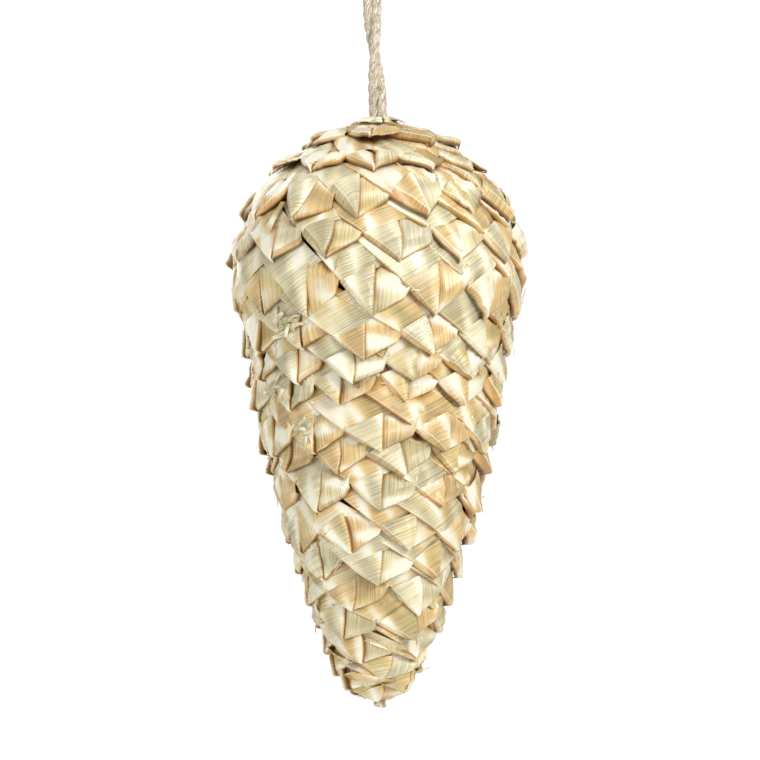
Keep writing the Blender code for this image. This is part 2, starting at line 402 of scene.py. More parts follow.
def outline():
    """The cone's outline from crown to tip, as (radius, height): a dome, then one curve."""
    half = CONE_WIDTH / 2
    widest = CONE_HEIGHT * WIDEST_SHARE
    below = CONE_HEIGHT - widest
    points = []
    for step in range(OUTLINE_STEPS):
        angle = pi / 2 * step / OUTLINE_STEPS
        points.append(Vector((half * sin(angle), -widest * (1 - cos(angle)))))
    for step in range(OUTLINE_STEPS + 1):
        t = step / OUTLINE_STEPS
        start, near, far, end = (1 - t) ** 3, 3 * (1 - t) ** 2 * t, 3 * (1 - t) * t * t, t ** 3
        radius = half * (start + near + far * TIP_FULLNESS) + TIP_RADIUS * end
        points.append(Vector((radius, -widest - below * (near * SHOULDER_SHARE + far + end))))
    return points


class Course:
    """One ring of plait: a straight flank from its hidden top to the tips of its teeth."""

    def __init__(self, index, line, above):
        share, heading = COURSES[index]
        self.index = index
        self.above = above
        self.heading = radians(heading)
        depth = CONE_HEIGHT * share
        spot = next(i for i, point in enumerate(line) if i and -point.y >= depth - 1e-9)
        one, two = line[spot - 1], line[spot]
        on_line = one.lerp(two, (depth + one.y) / (one.y - two.y))
        normal = Vector((-(two - one).y, (two - one).x)).normalized()
        self.teeth = max(FEWEST_TEETH, round(2 * pi * on_line.x / TOOTH_PITCH))
        self.fullness = min(1.0, max(on_line.x / FULL_PLAIT_RADIUS, THINNEST_SHARE))
        self.tip = on_line - normal * FOLD_RELIEF * self.fullness
        self.top = Vector((BOSS_RADIUS, 0.0))
        if above:
            self.lay_under(above)
        self.down = (self.tip - self.top).normalized()
        self.out = Vector((-self.down.y, self.down.x))
        self.run = (self.tip - self.top).length
        self.spacing = (self.tip - above.tip).length if above else EVEN_SPACING
        self.tall = max(SHORTEST_TOOTH, self.fullness) * max(1.0, self.spacing / EVEN_SPACING)
        self.rises = [(-1.0, 0.0), (0.0, 0.0)]
        if above is None:
            self.rises += CROWN_RISES
        for step in range(RISE_STEPS if above else 0):
            if self.rises[-1][0] >= self.run:
                break
            under = above.tip - above.down * step * RISE_STEP
            under += above.out * (above.rise(step * RISE_STEP) - SEAT_DEPTH * above.fullness)
            up, lift = (self.tip - under).dot(self.down), (under - self.tip).dot(self.out)
            if up > self.rises[-1][0]:
                self.rises.append((up, max(lift, 0.0)))
        self.rises.append((1.0, self.rises[-1][1]))

    def rise(self, up):
        """How far the strips bulge off the straight flank to lie against the course above."""
        after = next(i for i, (at, _) in enumerate(self.rises) if at > up)
        (low, one), (high, two) = self.rises[after - 1], self.rises[after]
        share = (up - low) / (high - low)
        if low == 0.0 and self.index:
            share = sin(pi / 2 * share)
        return one + (two - one) * share

    def lay_under(self, above):
        """Runs the flank back from the tips, leaning in until it lies clear under the last one."""
        tuck = (TOOTH_DEPTH + PLAIT_TUCK) * self.fullness
        needed = (PLAIT_THICKNESS + FOLD_RELIEF) * self.fullness + CLEARANCE
        back = above.tip - self.tip
        for step in range(1, STEEPEST_LEAN):
            lean = radians(step)
            along = Vector(stepped(0.0, 0.0, lean, back.x, back.y)).normalized()
            self.top = self.tip + along * (back.length * cos(lean) + tuck)
            if min(back.length * sin(lean), (above.top - self.top).dot(above.out)) >= needed:
                break


def lay_courses():
    """Every course in order, each tucked under the one above it."""
    line = outline()
    courses = []
    for index in range(len(COURSES)):
        courses.append(Course(index, line, courses[-1] if courses else None))
    return courses


def stepped(x, y, way, along, across):
    """The spot that lies along and across a heading from x and y."""
    ahead, aside = cos(way), sin(way)
    return x + along * ahead - across * aside, y + along * aside + across * ahead


def turned(heading, radius, height):
    """A point at a heading from the front towards the right, a radius and a height."""
    return Vector((radius * sin(heading), -radius * cos(heading), height))


class Tooth:
    """One tooth's own map: x mm to the right along its course, y mm up the flank, n mm off it."""

    def __init__(self, course, number, rng, uneven):
        draw = rng.uniform
        self.course = course
        pitch = 2 * pi / course.teeth
        self.heading = course.heading + number * pitch
        self.wide = pitch * course.tip.x / TOOTH_PITCH
        self.tall = course.tall
        self.proud = max(FLATTEST_TOOTH, course.fullness)
        # The band starts from the triangle's corner; its own draw only keeps the order
        self.stray = {name: (draw(-1, 1) * uneven, draw(-1, 1) * uneven)
                      for name in ("left", "apex", "tip", "facet", "band")}
        self.ridge = rng.choice((draw(-0.9, -0.3), draw(0.4, 1.5)))
        self.bulge = draw(-0.15, 0.6)
        self.skew = draw(0.6, 1.7)
        self.fold = rng.choice((draw(0.25, 0.6), draw(0.6, 1.15)))
        self.lift = draw(-0.2, 0.35)
        self.curl = draw(-0.9, 0.5)
        # How much painted fold-side shade the triangle's roll and the facet's hem get
        self.tan = draw(0.0, 1.0)
        self.hem = draw(0.0, 1.0)
        self.hem_width = rng.choice((0.15, 0.25, 0.45, 0.95))
        self.rough = rng.choice((0.25, 0.3, 0.35, 0.5, 1.0))
        middle = degrees(self.heading) + degrees(pitch) * 0.2
        self.torn = any(course.index == at and abs((middle - worn + 180) % 360 - 180)
                        < degrees(pitch) / 2 for at, worn in TORN_PLACES)
        if self.torn:
            self.rough = 1.1
        self.flare = 0.0
        if course.index < 2:
            self.flare = rng.choice(((0.3, 0.9, 1.6), (0.0, 0.6, 1.3))[course.index])
            self.rough = max(self.rough, 0.6)
            self.fold *= 0.6
        elif rng.random() < 0.25 and course.index < len(COURSES) - 2:
            self.flare = draw(0.2, 1.0)
        self.turn = max(-0.2, min(0.2, rng.gauss(0, 0.085)))
        self.slip = draw(-1.2, 1.2)
        self.shift = draw(-0.8, 0.8)
        self.tilt = [(rng.gauss(0, 0.05), rng.gauss(0, 0.05)) for _ in range(3)]
        self.seed = draw(0, 100)

    def bow(self, y):
        """How far the triangle's right fold bows out at a height."""
        return (0.68 + 0.9 * self.curl) * sin(pi * max(0.0, min(1.0, y / APEX[1])))

    def flat(self, x, y):
        """How far off the flank the folded triangle lies at a spot, before it slopes away."""
        return (FOLD_FOOT + (FLAT_LEVEL - FOLD_FOOT) * self.fold + self.lift
                + wobble(x, y, self.seed, self.rough)
                + self.tilt[0][0] * (x + 4) + self.tilt[0][1] * (y - 7))

    def hang(self, n):
        """A fold's underside stops short where the tooth stands off, so a dark gap shows."""
        return n if n > -0.5 or self.flare < 1.0 else -0.5 + (n + 0.5) * 0.25

    def corner(self, name, place):
        dx, dy = self.stray[name]
        return Vector((place[0] + dx, place[1] + dy))

    def laid(self, x, y):
        """The same spot once the tooth is shifted, slipped and turned a little on its course."""
        x += self.shift + (y - 6) * self.turn
        return x, y + self.slip - x * self.turn * 0.6

    def hidden(self, x, y):
        """How many mm a spot lies up behind the hem of the course above."""
        above = self.course.above
        if above is None or self.course.fullness < 0.9:
            return 0.0
        x, y = self.laid(x, y)
        pitch = 2 * pi / above.teeth
        angle = self.heading + x * self.wide * MM / self.course.tip.x - above.heading
        across = ((angle + pitch / 2) % pitch - pitch / 2) / pitch * TOOTH_PITCH / MM
        corner = LEFT_CORNER if across < 0 else FACET_CORNER
        hem = across * corner[1] / corner[0] * above.tall
        return y * self.tall - self.course.spacing / MM - hem

    def point(self, x, y, n, middle):
        """The place in the frame; middle is the x about which a strip lies flat, as a chord."""
        c = self.course
        x, y = self.laid(x, y)
        up = y * self.tall * MM
        n += self.flare * exp(-max(y, 0.0) / 6)
        if c.index == len(COURSES) - 1:
            n -= LAST_PINCH * exp(-max(y, 0.0) / 3)
        spot = c.tip - c.down * up + c.out * (n * self.proud * MM + c.rise(max(up, -0.5)))
        angle = x * self.wide * MM / c.tip.x
        bend = max(-0.7, min(0.7, (x - middle) * self.wide * MM / c.tip.x))
        return turned(self.heading + angle, spot.x / cos(bend), CROWN + spot.y)


def add_object(mesh, name, material):
    """Puts a finished mesh into the scene as an object of one material."""
    data = bpy.data.meshes.new(name)
    mesh.to_mesh(data)
    mesh.free()
    data.materials.append(material)
    made = bpy.data.objects.new(name, data)
    bpy.context.collection.objects.link(made)
    return made


class FibreMesh:
    """A mesh of leaf or jute, with the distances along and across its fibres at each corner."""

    def __init__(self, *marks):
        self.mesh = bmesh.new()
        self.marks = [self.mesh.verts.layers.float.new(name) for name in (*marks, "u", "v")]
        self.uv = self.mesh.loops.layers.uv.new("fibre")

    def grid(self, columns, rows, shape):
        """Adds a grid; shape gives each column and row its place and the values of its marks."""
        made = bmesh.ops.create_grid(self.mesh, x_segments=columns, y_segments=rows, size=1.0)
        for vert in made["verts"]:
            column = round((vert.co.x + 1) / 2 * columns)
            row = round((vert.co.y + 1) / 2 * rows)
            vert.co, *values = shape(column, row)
            for mark, value in zip(self.marks, values):
                vert[mark] = value

    def weld(self, distance):
        """Smooths the faces, lays the fibre's distances into their UVs and joins what touches."""
        u, v = self.marks[-2:]
        for face in self.mesh.faces:
            face.smooth = True
            for loop in face.loops:
                loop[self.uv].uv = (loop.vert[u], loop.vert[v])
        bmesh.ops.remove_doubles(self.mesh, verts=self.mesh.verts, dist=distance)


class Plait(FibreMesh):
    """The mesh of one course, to which strips are added one at a time."""

    def __init__(self):
        # side marks how much painted shade or highlight each corner gets
        super().__init__("tint", "side")

    def strip(self, columns, rows, tint, rng, shape):
        """Adds a strip; shape gives each column and row its place, side (its painted shade or
        highlight), u and v in mm.
        """
        off_u, off_v = rng.random(), rng.random()

        def tinted(column, row):
            place, side, u, v = shape(column, row)
            return place, tint, side, u * MM + off_u, v * MM + off_v

        self.grid(columns, rows, tinted)

    def finish(self, name, material, thickness):
        self.weld(PLAIT_WELD)
        for edge in self.mesh.edges:
            edge.smooth = not edge.is_boundary
        made = add_object(self.mesh, name, material)
        wall = made.modifiers.new("strip thickness", "SOLIDIFY")
        wall.thickness = thickness
        wall.offset = -1.0
        return made


def along_fibre(x, y):
    """Distance along and across fibres that climb to the right."""
    return stepped(0.0, 0.0, -FIBRE_ANGLE, x, y)


def wobble(x, y, seed, size):
    """A slow unevenness of a strip, and a crumple on the roughest, in the units of its size."""
    slow = noise.noise(Vector((x * 0.16, y * 0.16, seed)))
    crumple = noise.noise(Vector((x * 0.45, y * 0.45, seed + 50)))
    return size * (slow + crumple * min(1.0, size))


def fold_triangle(plait, tooth, tint, rng):
    """The folded triangle on top: rolled along its lower left, its right side and its tip."""
    left, apex, tip = (tooth.corner("left", LEFT_CORNER), tooth.corner("apex", APEX),
                       tooth.corner("tip", (0.0, 0.0)))
    flat = 6
    columns = len(SOFT_ROLL) + flat + len(SIDE_ROLL) - 1
    shares = (0.0, 0.03, 0.12, 0.24, 0.36, 0.48, 0.60, 0.71, 0.80, 0.87, 0.925, 0.965, 0.99, 1.0)
    drops = {9: 0.03, 10: 0.10, 11: 0.28, 12: 0.8, 13: 1.9}
    middle = (left.x + tip.x) / 2

    def shape(column, row):
        s = shares[row]
        start = left.lerp(tip, s) + Vector((-0.2, -0.3)) * sin(pi * s)
        end = apex.lerp(tip, s)
        end.x += tooth.bow(APEX[1] * (1 - s))
        width = (end - start).length
        small = min(1.0, width / 7.0)
        level = FOLD_FOOT + (FLAT_LEVEL - FOLD_FOOT) * tooth.fold
        if column < len(SOFT_ROLL):
            inset, n, side = SOFT_ROLL[column]
            across = inset * small * (tooth.fold if column > 3 else 1.0)
        elif column >= len(SOFT_ROLL) + flat:
            inset, n, side = SIDE_ROLL[column - len(SOFT_ROLL) - flat]
            across = width - inset * small
        else:
            part = (column - len(SOFT_ROLL) + 1) / (flat + 1)
            first = SOFT_ROLL[-1][0] * small * tooth.fold
            last = width - SIDE_ROLL[0][0] * small
            across = first + (last - first) * part
            n, side = FLAT_LEVEL, 0.0
        spot = start + (end - start).normalized() * across
        under = n - FLAT_LEVEL if n < 1.1 else 0.0
        if n > FOLD_FOOT:
            n = FOLD_FOOT + (n - FOLD_FOOT) * tooth.fold
        if n >= level - 0.01:
            share = min(1.0, across / max(width, 0.01))
            n += tooth.bulge * sin(pi * share ** tooth.skew) * small * small
        # How much painted shade the roll's fold side gets
        if 0 < side <= 0.5 and column < len(SOFT_ROLL):
            side *= tooth.tan
        n = tooth.hang(n)
        n -= RIGHT_DROP * min(1.0, max(0.0, across / max(width, 1.0))) ** 2 * min(1.0, width / 5)
        n += tooth.flat(spot.x, spot.y) - level
        n -= drops.get(row, 0.0) * (0.4 if tooth.flare > 1.0 else 1.0) + 0.3 * (1 - s) ** 6
        u, v = along_fibre(spot.x, spot.y)
        return tooth.point(spot.x, spot.y, n, middle), side, u + under, v

    plait.strip(columns, len(shares) - 1, tint, rng, shape)


def facet(plait, tooth, tint, rng):
    """The strip on the right, its fibres upright: creased, then hemmed along its lower edge."""
    tip, corner = tooth.corner("tip", (0.0, 0.0)), tooth.corner("facet", FACET_CORNER)
    stops = (-1.4, -0.5, 0.2, 0.8, 1.5, 2.6, 4.2, 5.8, 7.4, 8.9, 10.0, 10.8, 11.8)
    upper = (0.0, 0.18, 0.38, 0.6, 0.8, 0.94, 1.0)
    rows = len(HEM_ROLL) + 1 + len(upper) + 1
    seed = rng.uniform(0, 100)
    crease = rng.uniform(2.8, 4.8)

    def shape(column, row):
        x = stops[column]
        low = tip.y + (corner.y - tip.y) * max(x, 0.0) / corner.x
        if x < 0:
            low += -x * 0.9
        if x > corner.x:
            low += (x - corner.x) * 1.6
        high = min(start + slope * x for start, slope in FACET_TOP) - (1.3 if x < 2.7 else 0.4)
        high = max(low + crease + 1.5, high)
        ridge = tooth.ridge
        if row < len(HEM_ROLL):
            inset, n, side = HEM_ROLL[row]
            inset *= tooth.hem_width if row > 3 else 1.0
            if n > HEM_FOOT:
                n = HEM_FOOT + (n - HEM_FOOT) * (0.4 + 0.6 * tooth.hem_width)
            y = low + inset
            n += ridge * min(1.0, max(0.0, inset / crease))
            # How much painted shade the hem's fold side gets
            if 0 < side <= 0.5:
                side *= tooth.hem
        elif row == len(HEM_ROLL):
            y, n, side = low + crease - 0.25, 0.05 + ridge * (1 - 0.25 / crease), 0.0
        elif row < rows - 1:
            part = upper[row - len(HEM_ROLL) - 1]
            y = low + crease + (high - low - crease) * part
            n, side = 0.12 + (ridge - 0.1) * (1 - part), 0.0
        else:
            # The top tucks under the band above, painted in shade
            y, n, side = high + 2.8, -1.9, 0.6
        beside = max(x - 0.1, 0.0)
        # A painted shade line runs beside the triangle's right fold
        if row < rows - 1:
            side = max(side, GAP_SHADE * exp(-(beside / 0.36) ** 2))
        x += (tip.x + tooth.bow(y)) * exp(-(beside / 3) ** 2)
        under = n - 0.1 if n < 0 and row < 5 else 0.0
        n = tooth.hang(n) if row < rows - 1 else n
        n += wobble(x, y, seed, tooth.rough)
        n += tooth.tilt[1][0] * (x - 5) + tooth.tilt[1][1] * (y - 8)
        under_fold = min(n - 0.5, tooth.flat(x, y) - RIGHT_DROP - 0.5)
        n += (under_fold - n) * exp(-(beside / 1.1) ** 2)
        return tooth.point(x, y, n, 5.0), side, y + under, x

    plait.strip(len(stops) - 1, rows - 1, tint, rng, shape)


def band(plait, tooth, tint, rng):
    """The slanting band above the triangle, its left end folded over the facet beside it."""
    left = tooth.corner("left", LEFT_CORNER)
    up = Vector((cos(FOLD_SLOPE), sin(FOLD_SLOPE))) * -1
    way = Vector((cos(FIBRE_ANGLE), sin(FIBRE_ANGLE)))
    flat = 9
    columns = len(BAND_ROLL) + flat
    top = (tooth.course.run / MM / tooth.tall - left.y) / sin(-FOLD_SLOPE)
    rows = max(7, round(top / 1.8))
    seed = rng.uniform(0, 100)
    arch = rng.uniform(-0.2, 1.1)
    crest = rng.uniform(0.6, 1.6)

    def shape(column, row):
        start = left + up * (-1.2 + (top + 1.2) * row / rows)
        if column < len(BAND_ROLL):
            across, n, side = BAND_ROLL[column]
        else:
            part = (column - len(BAND_ROLL) + 1) / (flat + 1)
            across = BAND_ROLL[-1][0] + (BAND_REACH - BAND_ROLL[-1][0]) * part
            n, side = 0.7 - 0.75 * part ** 1.6 + arch * sin(pi * part ** crest), 0.0
        spot = start + way * across
        under = n - 0.5 if n < 0.4 and column < 4 else 0.0
        clear = (top + 1.2) * row / rows - 1.2
        n += wobble(spot.x, spot.y, seed, tooth.rough) - 1.0 * exp(-max(clear, 0.0) / 1.6)
        n += tooth.tilt[2][0] * (spot.x - left.x - 7) * 0.6
        # Up behind the hem of the course above, painted shade darkens it to the brown of a gap
        side = max(side, min(GAP_SHADE, 0.5 + 0.3 * (tooth.hidden(spot.x, spot.y) - 1.2)))
        u, v = along_fibre(spot.x, spot.y)
        return tooth.point(spot.x, spot.y, n, start.x + 7.5), side, u + under, v

    plait.strip(columns, rows, tint, rng, shape)


def spare_end(plait, tooth, tint, rng):
    """The cut end of a strip that was joined in: it hangs from under the course above, frayed."""
    draw = rng.uniform
    columns, rows = 6, 8
    heading = radians(rng.choice((270, 270, 205, 325)) + rng.gauss(0, 9))
    x, y = draw(-9, 9), draw(20, 23)
    length, width = draw(8, 14), draw(2.2, 5.0)
    lift, curl = draw(1.2, 1.6), draw(-0.3, 0.8)
    frays = [draw(-1.6, 0.4) for _ in range(columns + 1)]
    seed = draw(0, 100)

    def shape(column, row):
        part = row / rows
        along = length * part + (frays[column] if row == rows else 0.0)
        across = (column / columns - 0.5) * width
        px, py = stepped(x, y, heading, along, across)
        n = lift + curl * part ** 3 - 0.25 * abs(column - 3) / 3 + wobble(px, py, seed, 0.4)
        return tooth.point(px, py, n, x), 0.0, along, across

    plait.strip(columns, rows, tint, rng, shape)


def torn_ribbon(plait, tooth, rng):
    """A crinkled ribbon of split leaf in a torn place, lying loose over the fold."""
    draw = rng.uniform
    columns, rows = 3, 7
    x, y = draw(-9, 0), draw(4, 12)
    heading = radians(rng.choice((25, 205, 260)) + rng.gauss(0, 14))
    length, width = draw(3.0, 6.5), draw(0.7, 2.2)
    rise, kink, start = draw(0.1, 0.6), draw(-0.5, 0.5), draw(1.0, 1.5)
    seed = draw(0, 100)

    def shape(column, row):
        part = row / rows
        along = length * part
        across = (column / columns - 0.5) * width * (1 - 0.35 * part)
        px, py = stepped(x, y, heading + kink * part, along, across)
        n = start + rise * sin(pi * part) + wobble(px * 2, py * 2, seed, 0.45)
        return tooth.point(px, py, n, x), 0.0, along, across

    plait.strip(columns, rows, draw(0.1, 0.5), rng, shape)


def loose_fibre(plait, tooth, rng):
    """A split end of leaf that has sprung from a fold: a thin blade, curling as it tapers."""
    draw = rng.uniform
    rows = 6
    corner, ways, spread = ((LEFT_CORNER, (205, 325, 25), 22) if rng.random() < 0.5
                            else (FACET_CORNER, (270, 30, 205), 20))
    share = draw(0.1, 1.0)
    x, y = corner[0] * share, corner[1] * share
    heading = radians(rng.choice(ways) + rng.gauss(0, spread))
    length, width = draw(1.2, 4.5), draw(0.12, 0.35)
    curl, rear = draw(-0.7, 0.7), draw(0.0, 0.18)
    start = draw(0.2, 0.8)

    def shape(column, row):
        along = length * row / rows
        across = (column - 0.5) * width * (1.15 - row / rows)
        px, py = stepped(x, y, heading + curl * row / rows, along, across)
        # A touch of painted fold shade
        return tooth.point(px, py, start + rear * along * row / rows, x), 0.1, along, across

    plait.strip(1, rows, draw(0.2, 0.75), rng, shape)


def collar_end(plait, number, rng):
    """A strip end of the crown, gathered about the foot of the twine and lying outwards."""
    draw = rng.uniform
    columns = 4
    heading = 2 * pi * (number + draw(-0.3, 0.3)) / COLLAR_ENDS
    width, reach = draw(2.4, 4.2), draw(5.0, 9.0)
    rise, sway = draw(0.5, 1.3), draw(-0.5, 0.5)
    frays = [draw(-0.5, 0.5) for _ in range(columns + 1)]
    line = ((3.6, rise - 0.9), (3.7, rise - 0.3), (4.1, rise), (4.9, rise * 0.85),
            (6.2, rise * 0.4), (reach, 0.0), (reach + 1.6, -0.9))

    def shape(column, row):
        radius, height = line[row]
        if row == 0:
            height += frays[column]
        across = (column / columns - 0.5) * width * (0.75 + 0.5 * min(1.0, row / 4))
        height += 0.25 - 0.06 * across * across
        spot = turned(heading + sway * row / 12, radius * MM, CROWN + height * MM)
        side = Vector((cos(heading), sin(heading), 0.0)) * across * MM
        # The roots by the twine get a touch of painted shade
        return spot + side, 0.2 if row < 2 else 0.0, radius, across

    plait.strip(columns, len(line) - 1, draw(0.0, 0.6), rng, shape)


def tuft_end(plait, course, rng):
    """The end of one of the last strips, cut off in a short brush under the tip."""
    draw = rng.uniform
    columns, rows = 2, 3
    heading, off = draw(0, 2 * pi), draw(0.0006, 0.0028)
    lean, length = draw(-0.25, 0.15), draw(0.0034, 0.0052)
    width, turn = draw(0.3, 1.3), draw(-0.5, 0.5)

    def shape(column, row):
        part = row / rows
        across = (column / columns - 0.5) * width
        radius = max(0.0003, off + length * part * sin(lean))
        height = course.tip.y + 0.0032 - length * part * cos(lean)
        spot = turned(heading + turn * part, radius, CROWN + height)
        side = Vector((cos(heading), sin(heading), 0.0)) * across * MM
        # A touch of painted fold shade
        return spot + side, 0.15, length / MM * part, across

    plait.strip(columns, rows, draw(0.1, 0.7), rng, shape)


def backing(plait, course, below, rng):
    """The hidden inner layer of a course, so that no daylight shows between its strips, painted in the
    brown of gap shade.
    """
    around = 48
    hem = BACKING_HEM * course.fullness * max(1.0, course.spacing / EVEN_SPACING)
    high = course.top - course.out * BACKING_INSETS[0]
    low = course.tip - course.down * min(hem, course.run * 0.7) - course.out * BACKING_INSETS[1]
    inner = below.top.copy() if below else Vector((0.0005, low.y - 0.001))
    inner.x = max(0.0005, min(inner.x, low.x) - 0.0015)
    line = (high, high.lerp(low, 0.5), low, inner)

    def shape(column, row):
        heading = 2 * pi * column / around
        spot = line[row]
        # Painted the dark brown shade of a gap
        return (turned(heading, max(spot.x, 0.0002), CROWN + spot.y), 0.9,
                spot.y / MM, heading * 40)

    plait.strip(around, len(line) - 1, 0.55, rng, shape)


def choose_tint(rng, spread):
    """A strip's place between grey and tan; spread lists the shares of each kind."""
    kind = rng.choices((0.0, 0.2, 0.4, 0.6, 0.78), weights=spread)[0]
    return kind + rng.uniform(-0.07, 0.07)


def twine_route(spacing):
    """Up one leg from the crown, over the loop and down the other leg, as the part has it."""
    apart = CORD_DIAMETER / 2 * LEG_CLOSENESS
    foot = CROWN + BOSS_HEIGHT + CLEARANCE
    steps = round(TWISTED_HEIGHT / TWIST_LENGTH * STEPS_PER_HALF_TWIST)
    leg = []
    for step in range(steps + 1):
        height = TWISTED_HEIGHT * step / steps
        turn = pi * (height / TWIST_LENGTH - TWIST_START)
        leg.append(Vector((apart * cos(turn), apart * sin(turn), foot + height)))
    loop_foot = foot + TWISTED_HEIGHT + STRAIGHT_HEIGHT
    for widths, share in LOOP_SHAPE:
        leg.append(Vector((-apart * widths, 0.0, loop_foot + LOOP_HEIGHT * share)))
    apex = Vector((0.0, 0.0, loop_foot + LOOP_HEIGHT))
    points = leg + [apex] + [Vector((-spot.x, -spot.y, spot.z)) for spot in reversed(leg)]
    ends = [points[0] * 2 - points[1]] + points + [points[-1] * 2 - points[-2]]
    fine = []
    for a, b, c, d in zip(ends, ends[1:], ends[2:], ends[3:]):
        for step in range(CURVE_STEPS):
            t = step / CURVE_STEPS
            fine.append(0.5 * (2 * b + (c - a) * t + (2 * a - 5 * b + 4 * c - d) * t * t
                               + (3 * b - a - 3 * c + d) * t ** 3))
    fine.append(points[-1].copy())
    for spot in fine:
        height = spot.z - foot
        bow = sin(pi * min(1.0, max(0.0, height / (loop_foot + LOOP_HEIGHT - foot))))
        spot.x -= BOW * bow ** 2
    walked = [0.0]
    for one, two in zip(fine, fine[1:]):
        walked.append(walked[-1] + (two - one).length)
    count = max(2, round(walked[-1] / spacing))
    picked, at = [], 0
    for step in range(count + 1):
        want = walked[-1] * step / count
        while at < len(fine) - 2 and walked[at + 1] < want:
            at += 1
        gap = walked[at + 1] - walked[at]
        picked.append(fine[at].lerp(fine[at + 1], (want - walked[at]) / gap if gap else 0.0))
    return picked, walked[-1]


def side_frames(route):
    """Two directions square to the route at each of its points, carried along without twist."""
    frames = []
    across = Vector((0.0, 1.0, 0.0))
    for index, spot in enumerate(route):
        ahead = route[min(index + 1, len(route) - 1)] - route[max(index - 1, 0)]
        ahead.normalize()
        across = (across - ahead * across.dot(ahead)).normalized()
        frames.append((across.copy(), ahead.cross(across), ahead))
    return frames


def ply_radius(angle):
    """Radius of three touching, softly pressed plies, as a share of the twine's own."""
    ply, centre = 0.464, 0.536
    off = (angle + pi / 3) % (2 * pi / 3) - pi / 3
    inside = ply ** 2 - (centre * sin(off)) ** 2
    return 0.5 + 0.5 * (centre * cos(off) + sqrt(max(inside, 0.02)))


def loose_hair(twine, spot, frame, radius, rng):
    """A fine fibre that stands off the twine and bends as it goes."""
    draw = rng.uniform
    across, up, ahead = frame
    turn = draw(0, 2 * pi)
    out = across * cos(turn) + up * sin(turn)
    lean = ahead * rng.choice((-1, 1)) * draw(0.3, 1.6) + out * draw(0.2, 1.0)
    bend = (across * draw(-1, 1) + up * draw(-1, 1)) * 0.3
    reach = draw(0.0005, 0.0018)
    thick = draw(0.00002, 0.00005)
    root = spot + out * radius * HAIR_ROOT

    def shape(column, row):
        share = row / 3
        middle = root + lean.normalized() * reach * share + bend * reach * share * share
        angle = 2 * pi * column / 3
        side = out.cross(ahead) * cos(angle) + ahead * sin(angle)
        return middle + side * thick * (1.05 - share), reach * share, thick * column

    twine.grid(3, 3, shape)


def spin_twine(settings, material):
    """Three plies laid up along the route, with loose fibres standing off them."""
    rng = random.Random(5)
    route, length = twine_route(RING_SPACING)
    frames = side_frames(route)
    radius = settings.diameter / 2
    twine = FibreMesh()

    def plies(column, row):
        across, up, _ = frames[row]
        walked = length * row / (len(route) - 1)
        angle = 2 * pi * column / RING_CORNERS
        turn = angle + 2 * pi * walked / settings.lay_length
        swell = 1 + 0.10 * noise.noise(Vector((walked * 130, cos(angle), sin(angle))))
        off = radius * PLY_FULLNESS * ply_radius(angle) * swell
        place = route[row] + (across * cos(turn) + up * sin(turn)) * off
        return place, walked, column / RING_CORNERS * pi * settings.diameter

    twine.grid(RING_CORNERS, len(route) - 1, plies)
    for _ in range(settings.fuzz_count):
        row = rng.randrange(4, len(route) - 4)
        loose_hair(twine, route[row], frames[row], radius, rng)

    twine.weld(TWINE_WELD)
    mesh = twine.mesh
    open_edges = [edge for edge in mesh.edges if edge.is_boundary]
    bmesh.ops.holes_fill(mesh, edges=open_edges, sides=0)
    bmesh.ops.recalc_face_normals(mesh, faces=mesh.faces)
    return add_object(mesh, "jute_loop", material), route, length


